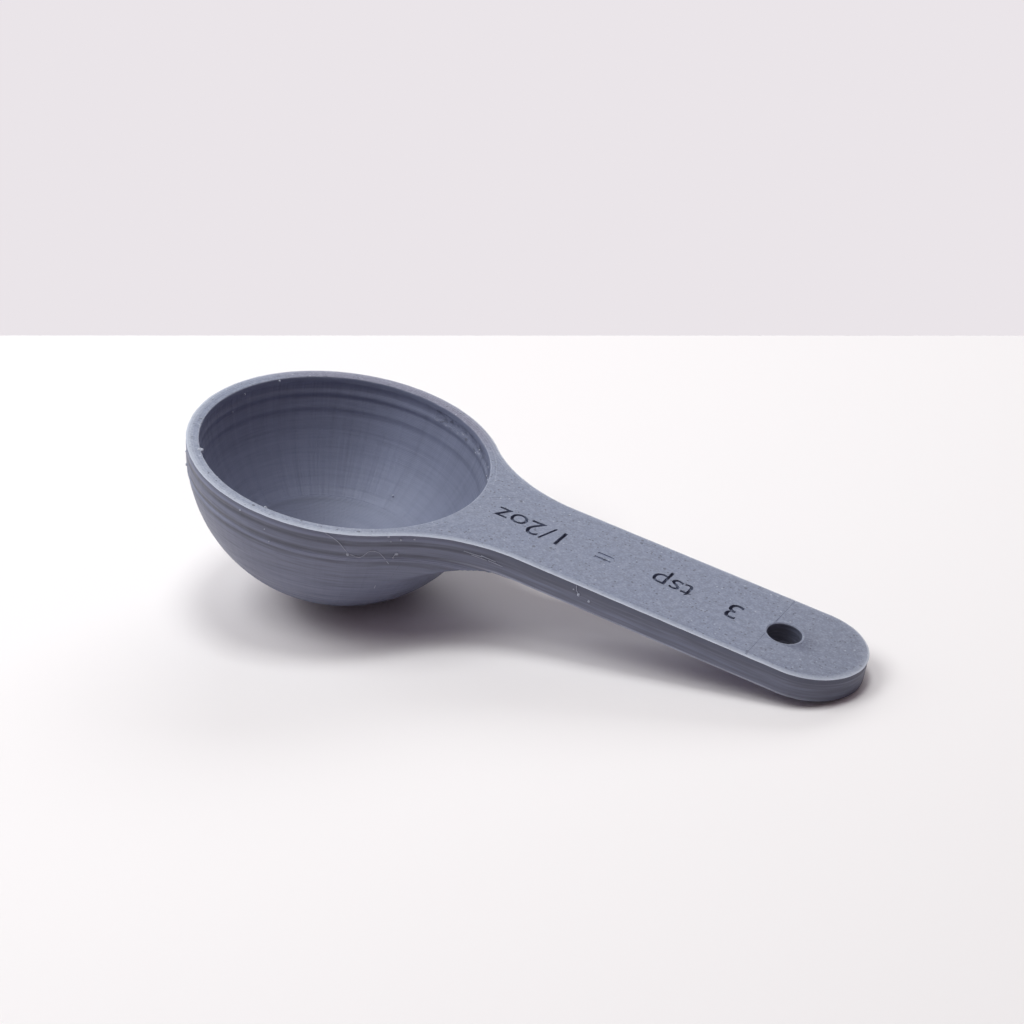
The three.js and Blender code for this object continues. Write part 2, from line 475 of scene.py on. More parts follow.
# The capacity mark: each word, the middle of its place along the handle, and its depth
MARK_WORDS = (
    ("3", 57.4 * MM, 0.55 * MM), ("tsp", 48.6 * MM, 0.55 * MM),
    ("=", 39.0 * MM, 0.1 * MM), ("1/2oz", 28.3 * MM, 0.55 * MM),
)
MARK_TEXT_SIZE = 4.9 * MM
MARK_BASELINE = 1.75 * MM

# Lines that the nozzle drew across the face: start and end in millimetres
FACE_GROOVE = ((62.65, -8.2), (62.65, 8.2))
FACE_RIDGES = (((22.3, -5.0), (17.6, -9.9)), ((23.9, 5.7), (20.6, 2.6)))
RIDGE_ROUND = 0.05 * MM
RIDGE_HEIGHT = 0.02 * MM
GROOVE_ROUND = 0.08 * MM
GROOVE_DEPTH = 0.035 * MM

# The bead round the hanging hole
HOLE_BEAD_OUT = 0.16 * MM
HOLE_BEAD_ROUND = 0.12 * MM
HOLE_BEAD_SINK = 0.09 * MM
HOLE_BEAD_COLUMNS = 72
ROUND_COLUMNS = 16


def lip_waver(reach, seed):
    """How far the squashed lip strays in and out along an edge."""
    chance = np.random.default_rng(seed)
    edge = ring(reach, 0.0)
    steps = np.linalg.norm(np.roll(edge, -1, 0) - edge, axis=1)
    along = 2 * math.pi * np.cumsum(steps) / steps.sum()
    stray = np.zeros(COLUMNS)
    for waves in LIP_WAVES:
        stray += np.sin(waves * along + chance.uniform(0, 2 * math.pi))
    return LIP_WAVER * stray / 2


def fill_rings(inner_edge, outer_edge):
    """Rings over the flat middle of the face, between the last beads of its two edges."""
    width = np.linalg.norm(outer_edge - inner_edge, axis=1, keepdims=True)
    edge_share = np.minimum(FILL_EDGE, width / 2) / np.maximum(width, WELD)
    rings = []
    for row in range(FILL_ROWS + 1):
        share = edge_share + (1 - 2 * edge_share) * row / FILL_ROWS
        points = inner_edge + (outer_edge - inner_edge) * share
        points[:, 2] = np.where(width[:, 0] > FILL_EDGE, 0.0, points[:, 2])
        rings.append(points)
    return rings


def plate_rings():
    """Rings round the plate's section: up its bowl side, over its face, and down its outer side."""
    groove = BEAD_GROOVE * (1 - BEAD_GROOVE_FADE * ON_HANDLE)
    opening = np.full(COLUMNS, BOWL_RADIUS)
    inner_foot = np.full(COLUMNS, ball_section(BOWL_RADIUS, -FACE_SKIN))
    foot_in = ring(inner_foot, -FACE_SKIN, bulge(-FACE_SKIN, INSIDE_BANDS))
    foot_out = ring(outside_reach(-FACE_SKIN), -FACE_SKIN, outside_swell(-FACE_SKIN))
    rings = [foot_out, foot_in]
    stray_in = lip_waver(opening, 31)
    stray_out = lip_waver(FACE_REACH, 32)
    for out, height in reversed(INNER_PROFILE):
        rings.append(ring(opening, height * MM, -out * MM - stray_in * max(out / LIP_PROUD, 0)))
    for step, grooves, _ in BEAD_STEPS[1:]:
        points = ring(opening, 0.0, step * MM)
        points[:, 2] = -grooves * groove
        rings.append(points)
    toward_near = smooth_step(0.5 - FACE_REACH * np.sin(BEARINGS) / SQUASH_BLEND)
    squash = SQUASH_LEAST + (1 - SQUASH_LEAST) * toward_near
    outer = []
    for step, grooves, drop in BEAD_STEPS:
        points = ring(FACE_REACH, 0.0, -step * MM)
        points[:, 2] = -grooves * groove - drop * MM * squash
        outer.append(points)
    rings.extend(fill_rings(rings[-1], outer[-1]))
    rings.extend(reversed(outer))
    for out, height in LIP_PROFILE:
        rings.append(ring(FACE_REACH, height * MM, out * MM + stray_out * max(out / LIP_PROUD, 0)))
    rings.append(foot_out)
    return rings


def mark_cutter():
    """The strokes of the capacity mark, upside down to someone who holds the handle on the right."""
    words = []
    for word, middle, depth in MARK_WORDS:
        deselect()
        bpy.ops.object.text_add(rotation=(0, 0, math.pi), location=(middle, MARK_BASELINE, 0))
        text = bpy.context.object
        text.data.body = word
        text.data.align_x = "CENTER"
        text.data.size = MARK_TEXT_SIZE
        text.data.extrude = depth
        bpy.ops.object.convert(target="MESH")
        bpy.ops.object.transform_apply(location=True, rotation=True, scale=True)
        words.append(bpy.context.object)
    return join("mark", words)


def face_bar(ends, radius, height):
    """A round bar along a line that the nozzle drew on the face."""
    start, end = [Vector((x * MM, y * MM, height)) for x, y in ends]
    turn = (end - start).to_track_quat("Z", "Y").to_euler()
    deselect()
    bpy.ops.mesh.primitive_cylinder_add(
        vertices=ROUND_COLUMNS, radius=radius, depth=(end - start).length,
        location=(start + end) / 2, rotation=turn,
    )
    bpy.ops.object.transform_apply(location=True, rotation=True, scale=True)
    return bpy.context.object


def hole_bead():
    """The bead that was laid round the hanging hole, a little proud of the face."""
    deselect()
    bpy.ops.mesh.primitive_torus_add(
        location=(HOLE_X, 0, -HOLE_BEAD_SINK),
        major_radius=HOLE_RADIUS + HOLE_BEAD_OUT, minor_radius=HOLE_BEAD_ROUND,
        major_segments=HOLE_BEAD_COLUMNS, minor_segments=ROUND_COLUMNS,
    )
    bpy.ops.object.transform_apply(location=True, rotation=True, scale=True)
    return bpy.context.object


def face_plate():
    """The plate of first layers, with its ridges, groove, mark and hole."""
    plate = join("face_plate", [skin_rings("plate", plate_rings())])
    for ends in FACE_RIDGES:
        combine(plate, face_bar(ends, RIDGE_ROUND, RIDGE_HEIGHT - RIDGE_ROUND), "UNION")
    combine(plate, face_bar(FACE_GROOVE, GROOVE_ROUND, GROOVE_ROUND - GROOVE_DEPTH), "DIFFERENCE")
    combine(plate, mark_cutter(), "DIFFERENCE")
    combine(plate, hole_bead(), "UNION")
    combine(plate, hole_cutter(), "DIFFERENCE")
    return settle(plate)


# Strings and blobs that the nozzle left on the walls

# On the bowl: (bearing in degrees, height in millimetres), and for a blob its radius in millimetres
OUTSIDE_STRANDS = (
    ((295.0, -0.3), (298.5, -0.9), (301.5, -2.0), (303.8, -3.1)),
    ((304.5, -3.1), (308.0, -3.5), (311.5, -2.4), (314.0, -2.6), (316.0, -3.3), (319.0, -4.7)),
    ((321.2, -2.8), (320.4, -3.1), (320.0, -3.7)),
    ((316.8, -8.9), (316.9, -9.7)),
)
OUTSIDE_BLOBS = (
    (303.6, -3.1, 0.20), (320.8, -2.9, 0.24), (320.1, -3.6, 0.13), (262.5, -0.9, 0.13), (273.0, -2.1, 0.10),
    (275.0, -3.8, 0.09), (317.0, -0.2, 0.16), (318.0, -0.9, 0.12), (321.5, -0.7, 0.14), (326.0, -0.6, 0.12),
    (219.0, -1.2, 0.17), (222.0, -2.6, 0.18), (214.0, -4.2, 0.13),
)
INSIDE_BLOBS = (
    (86.0, -13.3, 0.17), (150.0, -0.3, 0.18), (167.0, -1.0, 0.17), (174.0, -2.9, 0.15), (223.2, -0.2, 0.42),
    (224.5, -0.9, 0.34), (270.0, -0.1, 0.22), (50.0, -1.6, 0.14), (52.0, -2.4, 0.11), (243.0, -0.2, 0.12),
    (35.0, -1.2, 0.12), (33.0, -2.2, 0.10), (28.0, -1.8, 0.16), (26.0, -2.6, 0.12), (64.0, -1.9, 0.10),
)

# On the handle: (distance along it, height), and for a blob its radius, all in millimetres
HANDLE_BLOBS = ((39.7, -1.4, 0.20), (41.2, -1.7, 0.16), (38.9, -0.9, 0.10))
HANDLE_STRANDS = (
    ((39.2, -0.2), (39.3, -0.8), (39.7, -1.4)), ((23.6, -1.3), (26.0, -1.5)), ((24.6, -1.6), (26.6, -1.8)),
    ((25.8, -1.35), (27.8, -1.6)), ((26.8, -1.75), (28.8, -1.95)),
)
STRAND_RADIUS = 0.042 * MM
STRAND_LIFT = 0.05 * MM
BLOB_UNEVEN = 0.5


def outside_point(bearing, height):
    """A point on the outside wall of the bowl and neck."""
    angle = math.radians(bearing)
    reach = outside_reach(height * MM, np.array([angle]))[0] + bulge(height * MM, OUTSIDE_BANDS) + STRAND_LIFT
    return Vector((reach * math.cos(angle), reach * math.sin(angle), height * MM))


def inside_point(bearing, height):
    """A point on the inside wall of the bowl."""
    angle = math.radians(bearing)
    reach = ball_section(BOWL_RADIUS, height * MM) + bulge(height * MM, INSIDE_BANDS)
    return Vector((reach * math.cos(angle), reach * math.sin(angle), height * MM))


def handle_point(x, height):
    """A point on the near side of the handle and neck."""
    low, high = math.radians(270), math.radians(360)
    for _ in range(HALVINGS):
        angle = (low + high) / 2
        reach = outside_reach(height * MM, np.array([angle]))[0]
        if reach * math.cos(angle) < x * MM:
            low = angle
        else:
            high = angle
    return Vector((x * MM, reach * math.sin(angle) - STRAND_LIFT, height * MM))


def strand(points):
    """A fine string through points on a wall."""
    deselect()
    bpy.ops.curve.primitive_bezier_curve_add()
    curve = bpy.context.object
    spline = curve.data.splines[0]
    spline.bezier_points.add(len(points) - 2)
    for knot, point in zip(spline.bezier_points, points):
        knot.co = point
        knot.handle_left_type = "AUTO"
        knot.handle_right_type = "AUTO"
    curve.data.bevel_depth = STRAND_RADIUS
    curve.data.bevel_resolution = 2
    curve.data.use_fill_caps = True
    bpy.ops.object.convert(target="MESH")
    return bpy.context.object


def blob(place, radius, seed):
    """A small uneven lump on a wall."""
    deselect()
    bpy.ops.mesh.primitive_ico_sphere_add(subdivisions=3, radius=radius, location=place)
    lump = bpy.context.object
    bpy.ops.object.mode_set(mode="EDIT")
    bpy.ops.mesh.select_all(action="SELECT")
    bpy.ops.transform.vertex_random(offset=radius * BLOB_UNEVEN, uniform=0.5, normal=0.5, seed=seed)
    bpy.ops.mesh.vertices_smooth(factor=0.5, repeat=3)
    bpy.ops.object.mode_set(mode="OBJECT")
    return lump


def strings():
    """All strings and blobs, as one piece."""
    lumps = [(outside_point(bearing, height), size) for bearing, height, size in OUTSIDE_BLOBS]
    lumps += [(inside_point(bearing, height), size) for bearing, height, size in INSIDE_BLOBS]
    lumps += [(handle_point(x, height), size) for x, height, size in HANDLE_BLOBS]
    pieces = [blob(place, size * MM, seed) for seed, (place, size) in enumerate(lumps)]
    pieces += [strand([outside_point(*point) for point in points]) for points in OUTSIDE_STRANDS]
    pieces += [strand([handle_point(*point) for point in points]) for points in HANDLE_STRANDS]
    return settle(join("strings", pieces), smooth_angle=180)


# Nodes of the finishes


class Number:
    """A number on its way through a material's nodes, with Python's arithmetic."""

    def __init__(self, finish, socket):
        self.finish = finish
        self.socket = socket

    def math(self, operation, *values):
        """The outcome of one math node."""
        node = self.finish.node("ShaderNodeMath", {"operation": operation}, dict(enumerate(values)))
        return Number(self.finish, node.outputs[0])

    def __add__(self, other):
        return self.math("ADD", self, other)

    def __sub__(self, other):
        return self.math("SUBTRACT", self, other)

    def __rsub__(self, other):
        return self.math("SUBTRACT", other, self)

    def __mul__(self, other):
        return self.math("MULTIPLY", self, other)

    def __rtruediv__(self, other):
        return self.math("DIVIDE", other, self)

    def __gt__(self, other):
        return self.math("GREATER_THAN", self, other)

    def __lt__(self, other):
        return self.math("LESS_THAN", self, other)

    def sine(self):
        return self.math("SINE", self)

    def fraction(self):
        return self.math("FRACT", self)

    def root(self):
        return self.math("SQRT", self)

    def bearing(self, other):
        return self.math("ARCTAN2", self, other)


class Finish:
    """A material, the nodes in it, and the spoon's own coordinates."""

    def __init__(self, name):
        self.material = bpy.data.materials.new(name)
        self.material.use_nodes = True
        self.tree = self.material.node_tree
        self.shader = self.tree.nodes["Principled BSDF"]

    def node(self, kind, settings, sockets):
        """Adds a node, with its settings first and then the values or links of its sockets."""
        made = self.tree.nodes.new(kind)
        for name, value in settings.items():
            setattr(made, name, value)
        self.feed(made, sockets)
        return made

    def feed(self, node, sockets):
        """Links or sets a node's sockets."""
        for name, value in sockets.items():
            if isinstance(value, Number):
                value = value.socket
            if isinstance(value, bpy.types.NodeSocket):
                self.tree.links.new(value, node.inputs[name])
            else:
                node.inputs[name].default_value = value

    def spoon_coordinates(self):
        """Coordinates with the rim at height 0 and the handle along X."""
        place = self.node("ShaderNodeTexCoord", {}, {}).outputs["Object"]
        turned = self.node(
            "ShaderNodeMapping",
            {"vector_type": "TEXTURE"},
            {"Vector": place, "Location": RIM_MIDDLE, "Rotation": (0, TILT, 0)},
        )
        return turned.outputs["Vector"]

    def vector(self, x, y, z):
        """A vector of three numbers."""
        return self.node("ShaderNodeCombineXYZ", {}, {0: x, 1: y, 2: z}).outputs[0]

    def axes(self, vector):
        """The three numbers of a vector."""
        parts = self.node("ShaderNodeSeparateXYZ", {}, {"Vector": vector})
        return [Number(self, output) for output in parts.outputs]

    def stretched(self, vector, scale):
        """Coordinates scaled differently along each axis."""
        made = self.node("ShaderNodeMapping", {"vector_type": "POINT"}, {"Vector": vector, "Scale": scale})
        return made.outputs[0]

    def noise(self, vector, size, detail=2.0):
        """Soft noise from 0 to 1 with grains of a size."""
        made = self.node("ShaderNodeTexNoise", {}, {"Vector": vector, "Scale": 1 / size, "Detail": detail})
        return Number(self, made.outputs[0])

    def specks(self, vector, spacing, radius, share):
        """1 in small round specks, on a share of the cells of a grid."""
        cells = self.node(
            "ShaderNodeTexVoronoi",
            {"feature": "F1"},
            {"Vector": vector, "Scale": 1 / spacing, "Randomness": 1.0},
        )
        chance = self.node("ShaderNodeSeparateColor", {}, {0: cells.outputs["Color"]})
        near = Number(self, cells.outputs["Distance"]) < radius / spacing
        chosen = Number(self, chance.outputs[0]) < share
        return near * chosen

    def graph(self, length, points):
        """A number that follows a graph over a length: points of a place in millimetres and a level."""
        low = points[0][0]
        span = points[-1][0] - low
        made = self.node("ShaderNodeValToRGB", {}, {0: (length * (1 / MM) - low) * (1 / span)})
        ramp = made.color_ramp
        ramp.interpolation = "EASE"
        ramp.elements.remove(ramp.elements[1])
        for place, level in points:
            stop = ramp.elements.new((place - low) / span)
            stop.color = (level, level, level, 1)
        ramp.elements.remove(ramp.elements[0])
        return Number(self, made.outputs["Color"])

    def mix(self, share, first, second):
        """A colour between two."""
        made = self.node("ShaderNodeMix", {"data_type": "RGBA"}, {0: share, 6: first, 7: second})
        return made.outputs[2]

    def bump(self, height, distance, normal=None):
        """A normal bent by a height map whose full step is a distance."""
        sockets = {"Height": height, "Distance": distance, "Strength": 1.0}
        if normal is not None:
            sockets["Normal"] = normal
        return self.node("ShaderNodeBump", {}, sockets).outputs["Normal"]


# Finishes

FACE = (0.152, 0.172, 0.265, 1)
FACE_GREY = (0.165, 0.179, 0.257, 1)
# Painted shade: the face's colour darkened along the far rim
FAR_RIM_SHADE = (0.140, 0.120, 0.186, 1)
INSIDE = (0.180, 0.195, 0.284, 1)
INSIDE_DARK = (0.115, 0.124, 0.182, 1)
INSIDE_PALE = (0.245, 0.264, 0.384, 1)
DARK = (0.105, 0.112, 0.160, 1)
WALL_DARK = (0.060, 0.064, 0.092, 1)
WALL_PALE = (0.236, 0.254, 0.362, 1)
PIT = (0.070, 0.075, 0.115, 1)
PALE = (0.50, 0.52, 0.62, 1)

# How pale the colour is with the depth below the rim, in millimetres, from dark 0 to pale 1
# On the bowl: the print's banded sheen together with painted light and shade of its bands, and painted bounce
# light low down
OUTSIDE_TONES_AND_SHADING = (
    (0.0, 0.5), (0.2, 0.5), (0.45, 0.55), (0.75, 0.85), (1.2, 0.15), (1.6, 0.05), (2.1, 0.65), (2.6, 0.65),
    (3.3, 0.0), (3.95, 0.95), (4.6, 0.2), (5.3, 0.6), (8.0, 0.54), (11.0, 0.64),
)
# On the handle: painted shade under the lip, the print's banded sheen, and a painted highlight along the
# lower edge
HANDLE_TONES_AND_SHADING = (
    (0.0, 0.3), (0.4, 0.28), (0.6, 0.3), (1.2, 0.2), (1.6, 0.34), (2.1, 0.5), (2.6, 0.36), (2.9, 0.4),
    (3.1, 0.6), (3.4, 0.9),
)
# Painted shade over the walls toward the tip
TIP_SHADE_TONE = 0.2
# A painted highlight on the lip, stronger where its edge drops further
LIP_HIGHLIGHT_TONES = ((0.0, 0.0), (0.003, 0.1), (0.006, 0.2), (0.014, 0.42), (0.03, 0.7), (0.05, 0.95), (0.12, 1.0))
INSIDE_TONES = ((0.0, 0.5), (14.4, 0.5), (14.75, 0.58), (15.2, 0.2), (15.6, 0.42), (19.5, 0.48))

# Where a tone, a painted shade or painted light fades in or out, along the handle: (place in millimetres,
# share)
HANDLE_FADE = ((18.0, 0.0), (32.0, 1.0))
TIP_SHADE_FADE = ((64.0, 0.0), (74.0, 1.0))
FACE_TIP_SHADE_FADE = ((56.0, 0.0), (72.0, 1.0))
RIM_FADE = ((10.0, 1.0), (18.0, 0.0))
LIT_ALONG = ((-9.0, 0.0), (0.0, 1.0), (5.0, 0.9), (13.0, 0.0))

# Where a painted highlight, a painted shade or painted light fades in or out across the spoon, from its near
# side to its far side
NEAR_RIM_HIGHLIGHT_FADE = ((-18.0, 1.0), (-2.0, 0.0))
FAR_RIM_SHADE_FADE = ((6.0, 0.0), (16.0, 1.0))
LIT_ACROSS = ((2.0, 0.0), (11.0, 1.0))

# Limits of the places with a tone, a painted highlight or a painted shade of their own
MARK_START = 21 * MM
MARK_END = 60.5 * MM
HALF_MARK = 2.8 * MM
LIP_BASE = 0.11 * MM
INNER_EDGE_WIDTH = 0.5 * MM
GROOVE_SHADE_HALF = 2 * GROOVE_ROUND
GROOVE_SHADE_REACH = HALF_WIDTH - 0.3 * MM
GROOVE_SHADE_DEPTH = 0.01 * MM
RIDGE_HIGHLIGHT_HEIGHT = 0.003 * MM
HOLE_EDGE_WIDTH = 0.6 * MM
HOLE_SHADE_WIDTH = 0.4 * MM
ON_BOWL_MARGIN = 0.4 * MM
# Where the painted highlight along the handle's lower edge lies
LOWER_EDGE_LOW = 0.03 * MM - HANDLE_THICKNESS
LOWER_EDGE_HIGH = 0.3 * MM - HANDLE_THICKNESS
RAGGED_X = 3 * MM
RAGGED_Y = 4 * MM
RAGGED_DEPTH = 2.4 * MM

# Textures
FACETS = 96
STRAND_PITCH = 0.5 * MM
STRAND_SLANT = 0.6
GRAIN_BUMP = 0.03 * MM
LAYER_BUMP = 0.006 * MM
LUMP_BUMP = 0.12 * MM


def within(number, middle, half):
    """1 where a number lies within half a width of a middle."""
    offset = number - middle
    return offset * offset < half**2


def near_hole(x, y, margin):
    """1 in the hanging hole and within a margin of it."""
    return (x - HOLE_X) * (x - HOLE_X) + y * y < (HOLE_RADIUS + margin) ** 2


def outside_tone_and_shading(finish, x, depth):
    """How pale the outside is painted: the print's bands with painted light and shade on the bowl, fading
    into those of the handle, and painted shade up to its tip.
    """
    bowl = finish.graph(depth, OUTSIDE_TONES_AND_SHADING)
    tone = bowl + (finish.graph(depth, HANDLE_TONES_AND_SHADING) - bowl) * finish.graph(x, HANDLE_FADE)
    # Painted shade toward the tip
    return tone + (TIP_SHADE_TONE - tone) * finish.graph(x, TIP_SHADE_FADE)


def face_colour(finish, spoon, x, y):
    """The face's even colour, with a painted highlight along the near rim, painted shade along the far rim
    and painted shade darkening it toward the tip.
    """
    on_rim = finish.graph(x, RIM_FADE)
    near_rim = finish.graph(y, NEAR_RIM_HIGHLIGHT_FADE) * on_rim
    far_rim_shade = finish.graph(y, FAR_RIM_SHADE_FADE) * on_rim
    colour = finish.mix(finish.noise(spoon, 6 * MM), FACE, FACE_GREY)
    # Painted highlight along the near rim
    colour = finish.mix(near_rim * 0.2, colour, PALE)
    # Painted shade along the far rim
    colour = finish.mix(far_rim_shade * 0.7, colour, FAR_RIM_SHADE)
    # Painted shade darkening the face toward the tip
    return finish.mix(finish.graph(x, FACE_TIP_SHADE_FADE) * 0.33, colour, DARK)


def speckled(finish, spoon, grain, colour):
    """The print bed's grain on a colour, with small pits and pale specks, and the height of these."""
    mottle = finish.noise(spoon, 0.9 * MM, 3.0)
    pits = finish.specks(spoon, 0.6 * MM, 0.13 * MM, 0.35)
    large_pits = finish.specks(spoon, 1.7 * MM, 0.22 * MM, 0.3)
    pale = finish.specks(spoon, 0.9 * MM, 0.13 * MM, 0.3)
    colour = finish.mix((mottle - 0.5) * 1.9, colour, DARK)
    colour = finish.mix((0.5 - mottle) * 0.55, colour, PALE)
    colour = finish.mix((grain - 0.5) * 1.2, colour, DARK)
    colour = finish.mix((0.5 - grain) * 0.7, colour, PALE)
    colour = finish.mix(pits * 0.8, colour, PIT)
    colour = finish.mix(large_pits * 0.8, colour, PIT)
    colour = finish.mix(pale * 0.35, colour, PALE)
    return colour, grain - pits * 0.6 - large_pits + pale * 0.5


def bed_finish():
    """Matte face from the print bed, with a painted highlight on the lip where its edge drops, painted shade
    in the groove, a painted highlight on what stands proud, and the walls' tones with their painted light and
    shade below.
    """
    finish = Finish("bed_face")
    spoon = finish.spoon_coordinates()
    x, y, z = finish.axes(spoon)
    depth = z * -1
    in_mark = within(y, 0, HALF_MARK) * within(x, (MARK_END + MARK_START) / 2, (MARK_END - MARK_START) / 2)
    in_groove = within(x, FACE_GROOVE[0][0] * MM, GROOVE_SHADE_HALF) * within(y, 0, GROOVE_SHADE_REACH)
    outer = x * x + y * y > (BOWL_RADIUS + INNER_EDGE_WIDTH) ** 2
    below = (1 - in_mark) * (z < -LIP_BASE)
    edge = (1 - in_mark) * (1 - in_groove) * (z > -LIP_BASE)
    # Where the lip's painted highlight shows: less along the bowl's inner edge and round the hole
    shown = edge * (outer * 0.7 + 0.3) * (1 - near_hole(x, y, HOLE_EDGE_WIDTH) * 0.8)
    lip = finish.graph(depth, LIP_HIGHLIGHT_TONES) * shown
    side = finish.mix(outside_tone_and_shading(finish, x, depth), WALL_DARK, WALL_PALE)
    grain = finish.noise(spoon, 0.3 * MM, 4.0)
    colour, height = speckled(finish, spoon, grain, face_colour(finish, spoon, x, y))
    # Painted shade at the bottom of the groove
    colour = finish.mix(in_groove * (z < -GROOVE_SHADE_DEPTH) * 0.2, colour, DARK)
    # Painted highlight on the lip
    colour = finish.mix(lip * 0.9, colour, PALE)
    colour = finish.mix(below, colour, finish.mix(outer, INSIDE, side))
    # Painted highlight on what stands proud of the face: the nozzle's ridges and the hole's bead
    colour = finish.mix((z > RIDGE_HIGHLIGHT_HEIGHT) * 0.12, colour, PALE)
    finish.feed(
        finish.shader,
        {
            "Base Color": colour, "Roughness": grain * 0.2 + 0.42,
            "Normal": finish.bump(height * (1 - lip), GRAIN_BUMP),
            "Specular IOR Level": 0.4, "Coat Weight": lip * 0.6, "Coat Roughness": 0.25,
        },
    )
    return finish.material


def wall_colour(finish, x, y, z, inside):
    """The walls' colour by place: banded with painted light and shade, painted light far inside, painted
    shade in the hole and a painted highlight along the back's edge.
    """
    depth = z * -1
    outside_colour = finish.mix(outside_tone_and_shading(finish, x, depth), WALL_DARK, WALL_PALE)
    inside_colour = finish.mix(finish.graph(depth, INSIDE_TONES), INSIDE_DARK, INSIDE_PALE)
    lit = finish.graph(x, LIT_ALONG) * finish.graph(y, LIT_ACROSS)
    inside_colour = finish.mix(lit * 0.6, inside_colour, INSIDE_PALE)
    along = finish.graph(x, HANDLE_FADE) * (1 - finish.graph(x, TIP_SHADE_FADE))
    # Painted highlight along the handle's lower edge
    lower_edge_highlight = (z < LOWER_EDGE_HIGH) * (z > LOWER_EDGE_LOW) * along
    colour = finish.mix(inside, outside_colour, inside_colour)
    # Painted shade in the hanging hole
    colour = finish.mix(near_hole(x, y, HOLE_SHADE_WIDTH) * 0.7, colour, WALL_DARK)
    return finish.mix(lower_edge_highlight * 0.6, colour, PALE)


def layer_finish():
    """Satin walls: a line at every layer, streaks along them, streaks across them that are partly bump and
    partly painted highlight, and a ragged patch by the rim.
    """
    finish = Finish("layers")
    spoon = finish.spoon_coordinates()
    x, y, z = finish.axes(spoon)
    flat = x * x + y * y
    from_ball = flat + (z - BALL_RISE) * (z - BALL_RISE)
    inside = from_ball < (BOWL_RADIUS + BOWL_WALL / 2) ** 2
    on_bowl = from_ball < (OUTER_RADIUS + ON_BOWL_MARGIN) ** 2
    above_crown = z > -CROWN_DEPTH
    in_crown = (1 - above_crown) * inside
    ragged = inside * (x > RAGGED_X) * (y > RAGGED_Y) * (z > -RAGGED_DEPTH)

    facet = (y.bearing(x) * (FACETS / (2 * math.pi)) + FACETS).fraction() - 0.5
    facets = facet * facet * (1 - inside * 2) * on_bowl
    facet_depth = OUTER_RADIUS / 2 * (2 * math.pi / FACETS) ** 2
    around = OUTER_RADIUS / flat.root()
    upright = finish.noise(finish.vector(x * around, y * around, z * 0.06), 1.4 * MM)
    lines = (z * (2 * math.pi / LAYER)).sine()
    streaks = finish.noise(finish.stretched(spoon, (0.05, 0.05, 1.0)), 0.3 * MM, 3.0)
    strands = ((x - y * STRAND_SLANT) * (2 * math.pi / STRAND_PITCH)).sine() * in_crown
    lumps = finish.noise(finish.stretched(spoon, (0.6, 0.6, 1.0)), 0.6 * MM, 3.0)

    lined = (1.4 - inside * 0.9) * (1 - in_crown)
    streak_highlight_share = (inside * 0.5 + 0.12) * on_bowl * above_crown
    colour = wall_colour(finish, x, y, z, inside)
    colour = finish.mix(finish.noise(spoon, 5 * MM) * 0.15, colour, FACE_GREY)
    colour = finish.mix(streaks * 0.2, colour, DARK)
    colour = finish.mix((streaks - 0.5) * lined, colour, WALL_DARK)
    colour = finish.mix((0.5 - streaks) * lined, colour, WALL_PALE)
    colour = finish.mix((lumps - 0.52) * 4 * ragged, colour, WALL_DARK)
    colour = finish.mix((0.46 - lumps) * 2 * ragged, colour, PALE)
    # Painted highlight streaks across the layers on the bowl, paler and darker by turns
    colour = finish.mix((upright - 0.45) * streak_highlight_share, colour, WALL_PALE)
    colour = finish.mix((0.45 - upright) * streak_highlight_share, colour, DARK)
    colour = finish.mix(strands * 0.08, colour, DARK)

    waves = upright * on_bowl * above_crown * (inside * 18 + 8)
    normal = finish.bump(lines * 0.5 + streaks * 2, LAYER_BUMP)
    normal = finish.bump(facets, facet_depth, normal)
    normal = finish.bump(strands * 0.8 + waves, LAYER_BUMP, normal)
    normal = finish.bump(lumps * ragged, LUMP_BUMP, normal)
    roughness = streaks * 0.2 + inside * 0.12 + 0.36
    finish.feed(
        finish.shader,
        {"Base Color": colour, "Roughness": roughness, "Normal": normal, "Specular IOR Level": 0.5},
    )
    return finish.material


def string_finish():
    """Thin strings and lumps of the same plastic, painted paler for the light that passes through them."""
    finish = Finish("strings")
    cloud = finish.noise(finish.spoon_coordinates(), 0.2 * MM)
    colour = finish.mix(cloud * 0.5 + 0.42, FACE_GREY, PALE)
    finish.feed(finish.shader, {"Base Color": colour, "Roughness": cloud * 0.2 + 0.3})
    return finish.material


# The spoon


def dress(piece, material, slot, *nodes):
    """Gives a finished piece its material, hides the imported parts it takes the place of, and hangs it from
    the root.
    """
    piece.data.materials.clear()
    piece.data.materials.append(material)
    if nodes:
        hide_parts(*nodes)
    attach(piece, "root")


dress(face_plate(), bed_finish(), "bed_face", "face_skin")
dress(
    layered_body(), layer_finish(), "layers",
    "bowl_wall", "bowl_crown", "handle_wall", "handle_back", "hole_wall", "handle_fill",
)
dress(strings(), string_finish(), "layers")


# Table, light and camera

PAPER_SIZE = 0.6
PAPER_BACK = (-0.038, 0.0942, 0)
PAPER_TURN = math.radians(20.3)
PAPER_COLOUR = (0.905, 0.851, 0.866, 1)
TABLE_SIZE = 8.0
TABLE_DROP = 0.0005
BACKDROP_COLOUR = (0.825, 0.783, 0.815, 1)
ROOM_LIGHT = 0.142
ROOM_COLOUR = (1.0, 0.8, 0.88, 1)

# Each lamp's name, bearing and rise in degrees, two sides in metres, and power in watts
LAMPS = (
    ("front", 216, 58, (0.32, 0.32), 1.5),
    ("left", 180, 28, (0.3, 0.3), 0.5),
    ("top", 0, 88, (0.15, 0.15), 1.08),
    ("back", 103, 36, (0.5, 0.25), 1.05),
)
LAMP_DISTANCE = 0.55
LAMP_COLOUR = (0.94, 1.0, 0.98)

